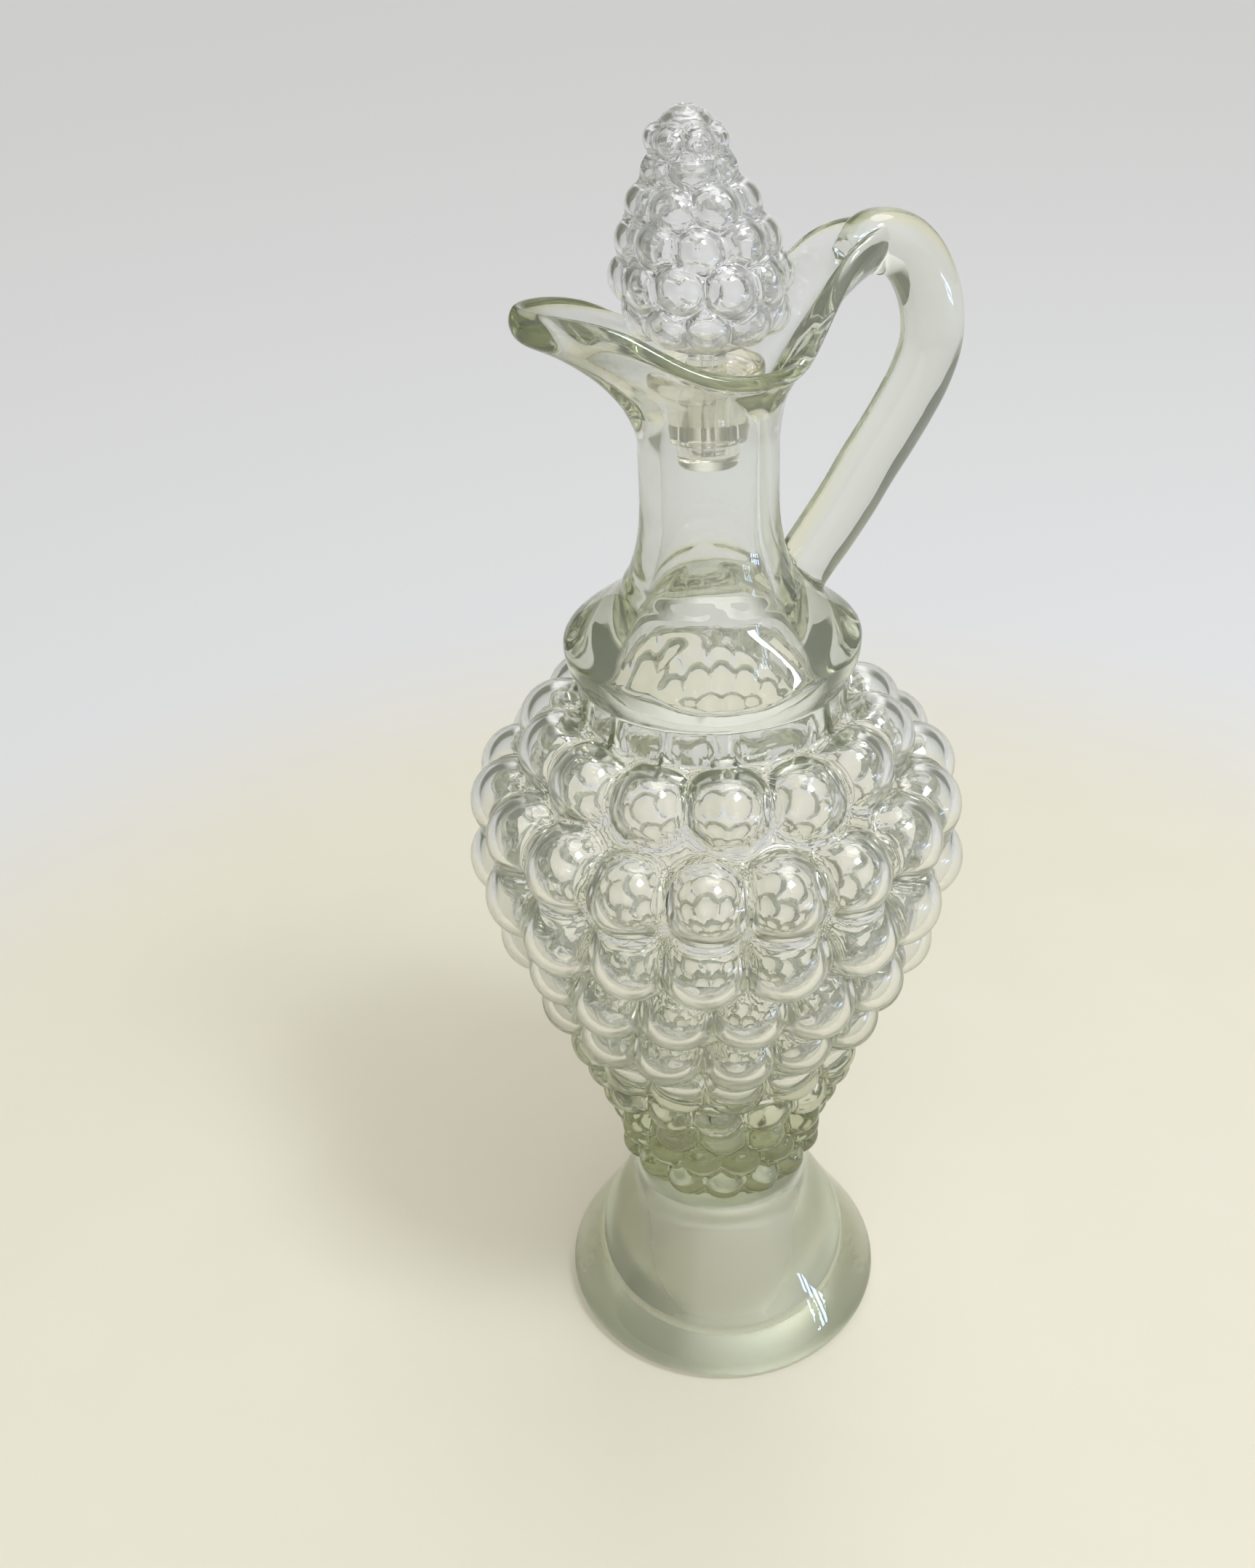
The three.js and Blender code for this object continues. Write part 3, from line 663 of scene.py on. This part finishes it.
def new_material(name):
    """An empty material, its node tree and its output node."""
    material = bpy.data.materials.new(name)
    material.use_nodes = True
    material.node_tree.nodes.clear()
    return material, material.node_tree, material.node_tree.nodes.new("ShaderNodeOutputMaterial")


def pattern(tree, place, period_mm, detail=2.0, roughness=0.5):
    """Noise whose lumps are about period_mm apart: Blender's scale is lumps in a metre."""
    return add(tree, "ShaderNodeTexNoise", {"Vector": place, "Scale": 1000 / period_mm, "Detail": detail,
                                            "Roughness": roughness}).outputs["Fac"]


def fill(tree, output, shader, absorb, density):
    """A closed piece's surface, and inside it a volume that absorbs light on its way through."""
    depth = add(tree, "ShaderNodeVolumeAbsorption", {"Color": linear(absorb), "Density": density})
    tree.links.new(shader.outputs["BSDF"], output.inputs["Surface"])
    tree.links.new(depth.outputs["Volume"], output.inputs["Volume"])


# %% [markdown]
# ## Glass
# Soda-lime glass bends light with an index of 1.52. The grey-green of the thick parts comes from iron
# that absorbs a little light on the way through, so it is a volume. Where the surface turns away, the
# light that reaches the eye has run a long way inside the wall, and painted shade adds to that: every
# outline is tinted olive, for the dim surroundings that the edges of clear glass show. Layer Weight
# knows how far a surface turns away, so it tints those rims. At the waist and at the spout's lip, where
# the glass is thickest, the painted shade reaches further in. The moulded surface is wavy where the hot
# glass touched cooler iron, in lumps about 9 mm apart, and has a fine orange peel of 1.6 mm. The
# plunger that pressed the hollow under the foot left it satin, and the resting face is worn.

# %% Make the glass
GLASS_IOR = 1.52
CLEARNESS = 0.95  # the rest is a thin veil of dust
WAVES_APART, PEEL_APART, SMEARS_APART = 9, 1.6, 14
SMEAR_ROUGHNESS = 0.03
RIM_POWER = 5.0
HOLLOW_RADIUS, HOLLOW_TOP, REST_TOP = 18.7, 28.5, 0.4
WAIST_STARTS, WAIST_ENDS = (33, 35), (108, 52)
LIP_STARTS, LIP_AHEAD = (202, 208), (-12, -20)


def under_foot(tree, place):
    """Two masks: 1 in the hollow, below its radius and its top, and 1 on the resting face."""
    height = add(tree, "ShaderNodeSeparateXYZ", {"Vector": place}).outputs["Z"]
    flat = add(tree, "ShaderNodeVectorMath", {0: place, 1: (1, 1, 0)}, operation="MULTIPLY").outputs["Vector"]
    radius = add(tree, "ShaderNodeVectorMath", {0: flat}, operation="LENGTH").outputs["Value"]
    narrow = add(tree, "ShaderNodeMath", {0: radius, 1: HOLLOW_RADIUS * MM},
                 operation="LESS_THAN").outputs["Value"]
    low = add(tree, "ShaderNodeMath", {0: height, 1: HOLLOW_TOP * MM}, operation="LESS_THAN").outputs["Value"]
    hollow = add(tree, "ShaderNodeMath", {0: narrow, 1: low}, operation="MULTIPLY").outputs["Value"]
    rest = add(tree, "ShaderNodeMath", {0: height, 1: REST_TOP * MM}, operation="LESS_THAN").outputs["Value"]
    return hollow, rest


def painted_shade_where_thick(tree, place):
    """A mask of the two places where the glass is thickest and the rims get more painted shade, the larger
    of two products. The waist starts at 34 mm and fades out from 52 to 108 mm. The spout's lip starts at
    205 mm, and lies ahead of x = -12 mm."""
    parts = add(tree, "ShaderNodeSeparateXYZ", {"Vector": place})

    def fade(axis, zero_at, one_at):
        """0 up to the first place along the axis and 1 from the second, both in mm."""
        return add(tree, "ShaderNodeMapRange", {"Value": parts.outputs[axis], "From Min": zero_at * MM,
                                                "From Max": one_at * MM}).outputs["Result"]

    waist = add(tree, "ShaderNodeMath", {0: fade("Z", *WAIST_STARTS), 1: fade("Z", *WAIST_ENDS)},
                operation="MULTIPLY")
    lip = add(tree, "ShaderNodeMath", {0: fade("Z", *LIP_STARTS), 1: fade("X", *LIP_AHEAD)},
              operation="MULTIPLY")
    return add(tree, "ShaderNodeMath", {0: waist.outputs["Value"], 1: lip.outputs["Value"]},
               operation="MAXIMUM").outputs["Value"]


def moulded_glass(name, absorb, density, rim, wave_mm, peel_mm, satin=0.0):
    """Principled transmission over an absorbing volume, with a thin veil of dust. The surface is clear
    where it faces the eye and takes the rim's colour, a painted shade, where it turns away, by the fifth
    power of Layer Weight's facing. Two layers of bump, slow waves and a fine orange peel, are as deep as
    given in millimetres. Glass with satin is rough under the foot, a little milky in the hollow, and where
    it is thick takes that painted shade by the plain facing as well."""
    material, tree, output = new_material(name)
    place = add(tree, "ShaderNodeTexCoord").outputs["Object"]
    waves = add(tree, "ShaderNodeBump", {"Strength": 1.0, "Distance": wave_mm * MM,
                                         "Height": pattern(tree, place, WAVES_APART)})
    peel = add(tree, "ShaderNodeBump", {"Strength": 1.0, "Distance": peel_mm * MM,
                                        "Height": pattern(tree, place, PEEL_APART),
                                        "Normal": waves.outputs["Normal"]})
    rough = add(tree, "ShaderNodeMapRange", {"Value": pattern(tree, place, SMEARS_APART, 4), "From Min": 0.45,
                                             "From Max": 0.8, "To Min": 0.0,
                                             "To Max": SMEAR_ROUGHNESS}).outputs["Result"]
    clear = CLEARNESS
    turned_away = add(tree, "ShaderNodeLayerWeight", {"Blend": 0.5}).outputs["Facing"]
    edge = add(tree, "ShaderNodeMath", {0: turned_away, 1: RIM_POWER}, operation="POWER").outputs["Value"]
    if satin:
        hollow, rest = under_foot(tree, place)
        frosted = add(tree, "ShaderNodeMath", {0: hollow, 1: rest}, operation="MAXIMUM").outputs["Value"]
        rough = add(tree, "ShaderNodeMath", {0: frosted, 1: satin, 2: rough},
                    operation="MULTIPLY_ADD").outputs["Value"]
        clear = add(tree, "ShaderNodeMath", {0: hollow, 1: -satin, 2: clear},
                    operation="MULTIPLY_ADD").outputs["Value"]
        # painted shade: the rims at the waist and the spout's lip are tinted further in
        edge = add(tree, "ShaderNodeMath", {0: painted_shade_where_thick(tree, place), 1: turned_away, 2: edge},
                   operation="MULTIPLY_ADD", use_clamp=True).outputs["Value"]
    # painted shade: the base colour turns from white to the rim's colour where the surface turns away
    painted_rim_shade = add(tree, "ShaderNodeMix", {"Factor": edge, FIRST: (1, 1, 1, 1), SECOND: linear(rim)},
                data_type="RGBA")
    glass = add(tree, "ShaderNodeBsdfPrincipled", {
        "Base Color": painted_rim_shade.outputs[MIXED], "IOR": GLASS_IOR, "Transmission Weight": clear,
        "Roughness": rough, "Normal": peel.outputs["Normal"]})
    fill(tree, output, glass, absorb, density)
    return material


# the rim colours are painted shade along the outlines, dark olive on the bottle and faint on the stopper
bottle_glass = moulded_glass("soda_lime_glass_pressed", absorb="#DFE3C6", density=46, rim="#7F8768",
                             wave_mm=0.06, peel_mm=0.004, satin=0.28)
stopper_glass = moulded_glass("colourless_glass_moulded", absorb="#EEF0EA", density=12, rim="#E2E5DE",
                              wave_mm=0.02, peel_mm=0.003)
bottle.data.materials.clear()
bottle.data.materials.append(bottle_glass)
stopper.data.materials.append(stopper_glass)
print("glass:", bottle_glass.name, stopper_glass.name)

# %% [markdown]
# ## Plastic
# The sleeve is low-density polyethylene: waxy, clear only where it is thin, and a little yellow with
# age. Its surface is rougher than glass, so it blurs what is behind it, and has a fine moulded grain.

# %% Make the plastic
PLASTIC_IOR = 1.51
GRAIN_APART, GRAIN_DEEP, DULL_SPOTS_APART = 0.8, 0.004, 5


def moulded_polyethylene():
    """Rough transmission over an absorbing volume. Its roughness goes from 0.02 to 0.06 in spots."""
    material, tree, output = new_material("polyethylene_moulded")
    place = add(tree, "ShaderNodeTexCoord").outputs["Object"]
    grain = add(tree, "ShaderNodeBump", {"Strength": 1.0, "Distance": GRAIN_DEEP * MM,
                                         "Height": pattern(tree, place, GRAIN_APART)})
    rough = add(tree, "ShaderNodeMapRange", {"Value": pattern(tree, place, DULL_SPOTS_APART, 3),
                                             "To Min": 0.02, "To Max": 0.06})
    plastic = add(tree, "ShaderNodeBsdfPrincipled", {
        "Base Color": linear("#FBFAF3"), "IOR": PLASTIC_IOR, "Transmission Weight": 1.0,
        "Roughness": rough.outputs["Result"], "Normal": grain.outputs["Normal"]})
    fill(tree, output, plastic, absorb="#F2ECC8", density=15)
    return material


sleeve.data.materials.append(moulded_polyethylene())
print("plastic:", sleeve.data.materials[0].name)

# %% [markdown]
# ## Floor, light and background
# Clear glass shows only what is round it. On an evenly white stage it would vanish, so the world is
# pale with two dim parts: a wide one beyond the spout, at the back, and a narrow one beyond the handle.
# They draw grey lines along the edges of the glass, as in the photograph. A window with bluish panes
# stands at the right in front, where the photograph's highlights on the round foot point to.

# %% Make the floor
FLOOR_HALF, FLOOR_DROP = 3, 0.0002  # metres
CREAM, PALER_CREAM, COOL_WHITE, PAINTED_SHADE_GREY = "#DBD5C2", "#E0DACA", "#DAD9DA", "#9A9B8C"
MOTTLE_APART = 40  # mm


def make_floor():
    """A square of 6 metres under the foot, in matt paper with a faint mottle: cream round the foot,
    turning to a cooler white from 0.2 to 0.34 metres away. At the spout's side a painted shade turns it
    grey from 0.34 to 0.7 metres, as if the room were dim there."""
    mesh = bpy.data.meshes.new("floor")
    corners = [(x * FLOOR_HALF, y * FLOOR_HALF, 0) for x, y in ((-1, -1), (1, -1), (1, 1), (-1, 1))]
    mesh.from_pydata(corners, [], [(0, 1, 2, 3)])
    floor = bpy.data.objects.new("floor", mesh)
    floor.location.z = -FLOOR_DROP
    bpy.context.collection.objects.link(floor)
    material, tree, output = new_material("matt_paper")
    place = add(tree, "ShaderNodeTexCoord").outputs["Object"]
    mottle = add(tree, "ShaderNodeMix", {"Factor": pattern(tree, place, MOTTLE_APART, 3),
                                         FIRST: linear(CREAM), SECOND: linear(PALER_CREAM)},
                 data_type="RGBA").outputs[MIXED]
    away_from_foot = add(tree, "ShaderNodeVectorMath", {0: place}, operation="LENGTH").outputs["Value"]
    far = add(tree, "ShaderNodeMapRange", {"Value": away_from_foot, "From Min": 0.2, "From Max": 0.34},
              interpolation_type="SMOOTHSTEP").outputs["Result"]
    sweep = add(tree, "ShaderNodeMix", {"Factor": far, FIRST: mottle, SECOND: linear(COOL_WHITE)},
                data_type="RGBA").outputs[MIXED]
    # painted shade: at the spout's side the floor turns grey, as if the room were dim there
    aside = add(tree, "ShaderNodeSeparateXYZ", {"Vector": place}).outputs["X"]
    shade = add(tree, "ShaderNodeMapRange", {"Value": aside, "From Min": -0.34, "From Max": -0.7},
                interpolation_type="SMOOTHSTEP").outputs["Result"]
    shaded = add(tree, "ShaderNodeMix", {"Factor": shade, FIRST: sweep, SECOND: linear(PAINTED_SHADE_GREY)},
                 data_type="RGBA").outputs[MIXED]
    paper = add(tree, "ShaderNodeBsdfPrincipled", {"Base Color": shaded, "Roughness": 0.9,
                                                   "Specular IOR Level": 0.2})
    tree.links.new(paper.outputs["BSDF"], output.inputs["Surface"])
    mesh.materials.append(material)
    print("floor:", 2 * FLOOR_HALF, "m square,", FLOOR_DROP / MM, "mm under the foot")


make_floor()

# %% Make the light
PALE, DIM = (1.0, 1.0, 1.0, 1), (0.15, 0.16, 0.12, 1)
DIM_CONES = [((-0.87, 0.48, 0.08), 0), ((1.0, 0.09, 0.05), 0.35)]  # each cone's axis, and how much narrower
PALE_TO_DIM = (0.6, 0.72)


def make_world():
    """The world's colour goes by direction alone, the same for every ray: pale, and dim in two cones.
    In a cone the direction's product with its axis, less what makes the cone narrower, is large. From
    0.2 to 0.44, which are 0.6 and 0.72 on the ramp, the colour goes from pale to dim."""
    world = bpy.data.worlds.new("studio")
    bpy.context.scene.world = world
    world.use_nodes = True
    tree = world.node_tree
    tree.nodes.clear()
    output = tree.nodes.new("ShaderNodeOutputWorld")
    direction = add(tree, "ShaderNodeTexCoord").outputs["Generated"]
    cones = []
    for axis, narrower in DIM_CONES:
        product = add(tree, "ShaderNodeVectorMath", {0: direction, 1: axis}, operation="DOT_PRODUCT")
        cone = add(tree, "ShaderNodeMath", {0: product.outputs["Value"], 1: narrower}, operation="SUBTRACT")
        cones.append(cone.outputs["Value"])
    toward_dim = add(tree, "ShaderNodeMath", {0: cones[0], 1: cones[1]}, operation="MAXIMUM").outputs["Value"]
    share = add(tree, "ShaderNodeMapRange", {"Value": toward_dim, "From Min": -1.0, "From Max": 1.0})
    ramp = add(tree, "ShaderNodeValToRGB", {"Fac": share.outputs["Result"]})
    stops = [(0.0, PALE), (PALE_TO_DIM[0], PALE), (PALE_TO_DIM[1], DIM), (1.0, DIM)]
    while len(ramp.color_ramp.elements) < len(stops):
        ramp.color_ramp.elements.new(0.5)
    for element, (position, colour) in zip(ramp.color_ramp.elements, stops):
        element.position, element.color = position, colour
    glow = add(tree, "ShaderNodeBackground", {"Color": ramp.outputs["Color"], "Strength": 1.0})
    tree.links.new(glow.outputs["Background"], output.inputs["Surface"])


def make_lamp(name, at, size, watts, colour=(1, 1, 1), toward=(0, 0, 0.12)):
    """A rectangular area lamp that faces a point."""
    data = bpy.data.lights.new(name, "AREA")
    data.shape, data.size, data.size_y, data.energy = "RECTANGLE", size[0], size[1], watts
    data.color = colour
    lamp = bpy.data.objects.new(name, data)
    lamp.location = at
    lamp.rotation_euler = (Vector(toward) - Vector(at)).to_track_quat("-Z", "Y").to_euler()
    bpy.context.collection.objects.link(lamp)


def make_skylight(name, strength, shadow=True):
    """Even light from above, behind and a little to the right, as from a wide bright sky. The part
    without a shadow stands for the light that clear glass lets through to what is under it."""
    data = bpy.data.lights.new(name, "SUN")
    data.energy, data.angle, data.use_shadow = strength, math.radians(35), shadow
    lamp = bpy.data.objects.new(name, data)
    lamp.rotation_euler = Vector((-0.5, -0.3, -1.8)).to_track_quat("-Z", "Y").to_euler()
    bpy.context.collection.objects.link(lamp)


def let_light_run_in_glass(bounces):
    """Light that runs along inside a wall of glass is turned back many times. With too few turns the
    thick parts render as dirt, so reflection and transmission may have as many as given."""
    paths = bpy.context.scene.cycles
    paths.max_bounces = paths.glossy_bounces = paths.transmission_bounces = bounces
    paths.diffuse_bounces = bounces


make_world()
let_light_run_in_glass(bounces=24)
WINDOW_BLUE, COOL_LIGHT = (0.45, 0.6, 1), (0.85, 0.92, 1)
WINDOW_AWAY, PANE_SIZE, PANE_WATTS = 0.95, (0.035, 0.03), 0.07
panes = [(turn, height) for height in (0.03, 0.075) for turn in (-46, -42.5, -39, -35.5)]
for pane, (turn, height) in enumerate(panes):
    spot = (WINDOW_AWAY * math.cos(math.radians(turn)), WINDOW_AWAY * math.sin(math.radians(turn)), height)
    make_lamp(f"window_pane_{pane}", spot, PANE_SIZE, PANE_WATTS, WINDOW_BLUE, toward=(0, 0, height))
make_lamp("ceiling_lamp", (0.25, -0.45, 1.0), (0.2, 0.25), 4.2, COOL_LIGHT)
make_skylight("skylight", 0.2)
make_skylight("skylight_through_glass", 0.7, shadow=False)
print("lamps:", len(bpy.data.lights))
